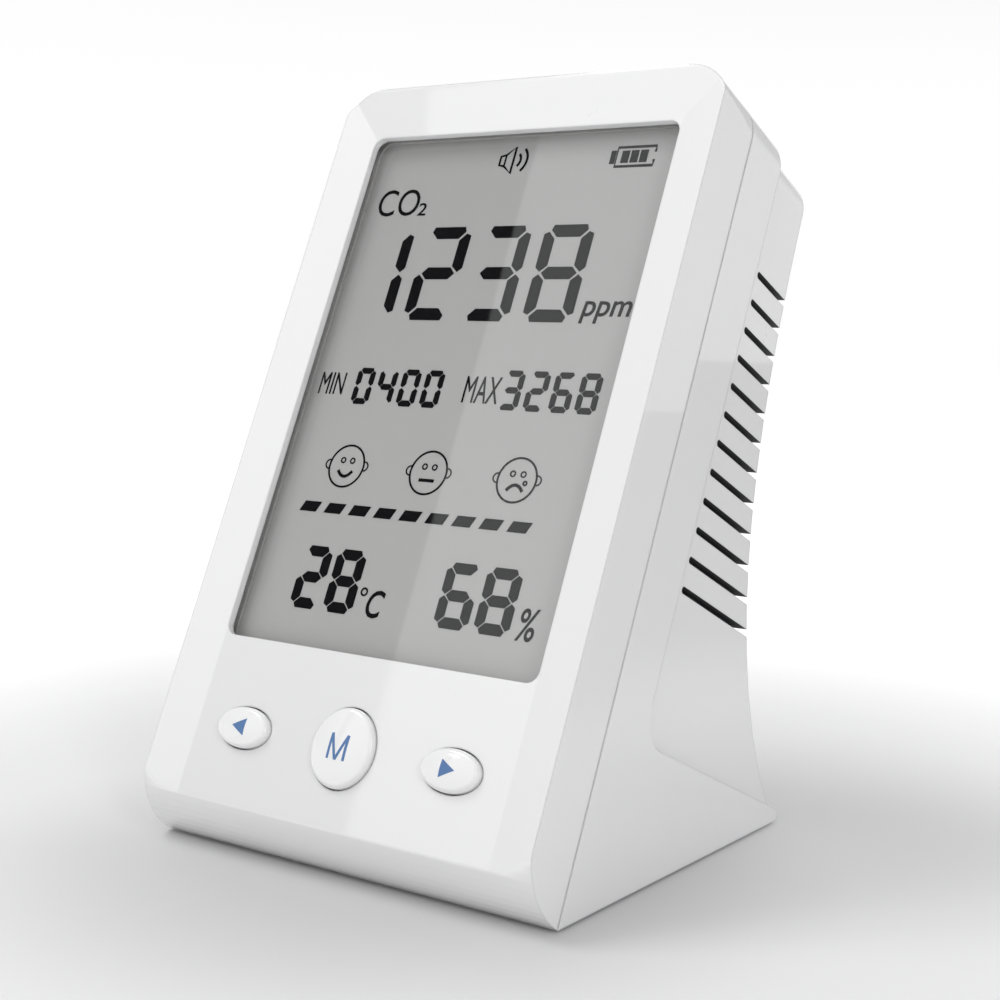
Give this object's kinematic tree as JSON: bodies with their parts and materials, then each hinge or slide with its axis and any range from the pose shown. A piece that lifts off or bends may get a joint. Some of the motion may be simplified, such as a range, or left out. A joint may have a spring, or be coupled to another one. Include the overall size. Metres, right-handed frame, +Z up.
{
  "type": "carbon dioxide monitor",
  "caption": "Desktop carbon dioxide monitor with a leaning display slab, keys below the window, and a vented rear housing that sweeps into a foot.",
  "frame": {"origin": "middle of the part's box on the surface that the rubber feet rest on", "axes": "+X to the right seen from the front, +Y to the back, +Z up; the display faces -Y and leans back 24 degrees"},
  "size_m": [0.075, 0.079, 0.1216],
  "materials": {
    "shell_white": "glossy moulded",
    "key_white": "glossy moulded",
    "clear_lens": "clear, polished",
    "display_glass": "clear",
    "polariser_grey": "smooth film",
    "film_white": "smooth film",
    "clear_guide": "clear acrylic",
    "frame_ivory": "moulded",
    "foam_black": "closed foam",
    "foam_grey": "closed foam",
    "elastomer": "matt",
    "board_green": "lacquered",
    "chip_black": "moulded",
    "switch_black": "moulded",
    "plunger_black": "moulded",
    "bright_steel": "plated",
    "can_steel": "plated",
    "gilt": "gold plated",
    "lamp_yellow": "clear resin",
    "parts_tan": "ceramic",
    "connector_ivory": "moulded",
    "lead_red": "smooth",
    "lead_black": "smooth",
    "cell_blue": "wrapped in film",
    "foot_rubber": "matt",
    "screen_grey": "fine mesh",
    "filter_white": "membrane"
  },
  "bodies": {
    "monitor": {"front_shell": "shell_white", "rear_shell": "shell_white", "rubber_feet": "foot_rubber", "case_screws": "bright_steel", "dust_screen": "screen_grey", "left_switch": "switch_black", "mode_switch": "switch_black", "right_switch": "switch_black", "display_window": "clear_lens", "window_gasket": "foam_grey", "front_polariser": "polariser_grey", "front_glass": "display_glass", "rear_glass": "display_glass", "rear_polariser": "polariser_grey", "diffuser_sheet": "film_white", "light_guide": "clear_guide", "reflector_sheet": "film_white", "display_frame": "frame_ivory", "backlight_strip": "board_green", "backlight_leds": "lamp_yellow", "contact_strip": "elastomer", "main_board": "board_green", "board_screws": "bright_steel", "microcontroller": "chip_black", "clock_crystal": "can_steel", "charger_chip": "chip_black", "small_components": "parts_tan", "buzzer": "chip_black", "usb_socket": "bright_steel", "battery_socket": "connector_ivory", "battery_plug": "connector_ivory", "red_lead": "lead_red", "black_lead": "lead_black", "battery_cell": "cell_blue", "cell_pads": "foam_black", "sensor_board": "board_green", "sensor_chamber": "gilt", "sensor_filter": "filter_white", "infrared_lamp": "can_steel", "infrared_detector": "can_steel", "sensor_pins": "gilt", "humidity_sensor": "chip_black"},
    "left_key": {"left_button": "key_white", "left_plunger": "plunger_black"},
    "mode_key": {"mode_button": "key_white", "mode_plunger": "plunger_black"},
    "right_key": {"right_button": "key_white", "right_plunger": "plunger_black"}
  },
  "joints": [
    {"name": "left_press", "type": "slide", "parent": "monitor", "child": "left_key", "axis": [0, 0.9135, -0.4067], "range_m": [0, 0.0004], "stiffness_N_per_m": 1000},
    {"name": "mode_press", "type": "slide", "parent": "monitor", "child": "mode_key", "axis": [0, 0.9135, -0.4067], "range_m": [0, 0.0004], "stiffness_N_per_m": 1000},
    {"name": "right_press", "type": "slide", "parent": "monitor", "child": "right_key", "axis": [0, 0.9135, -0.4067], "range_m": [0, 0.0004], "stiffness_N_per_m": 1000}
  ]
}
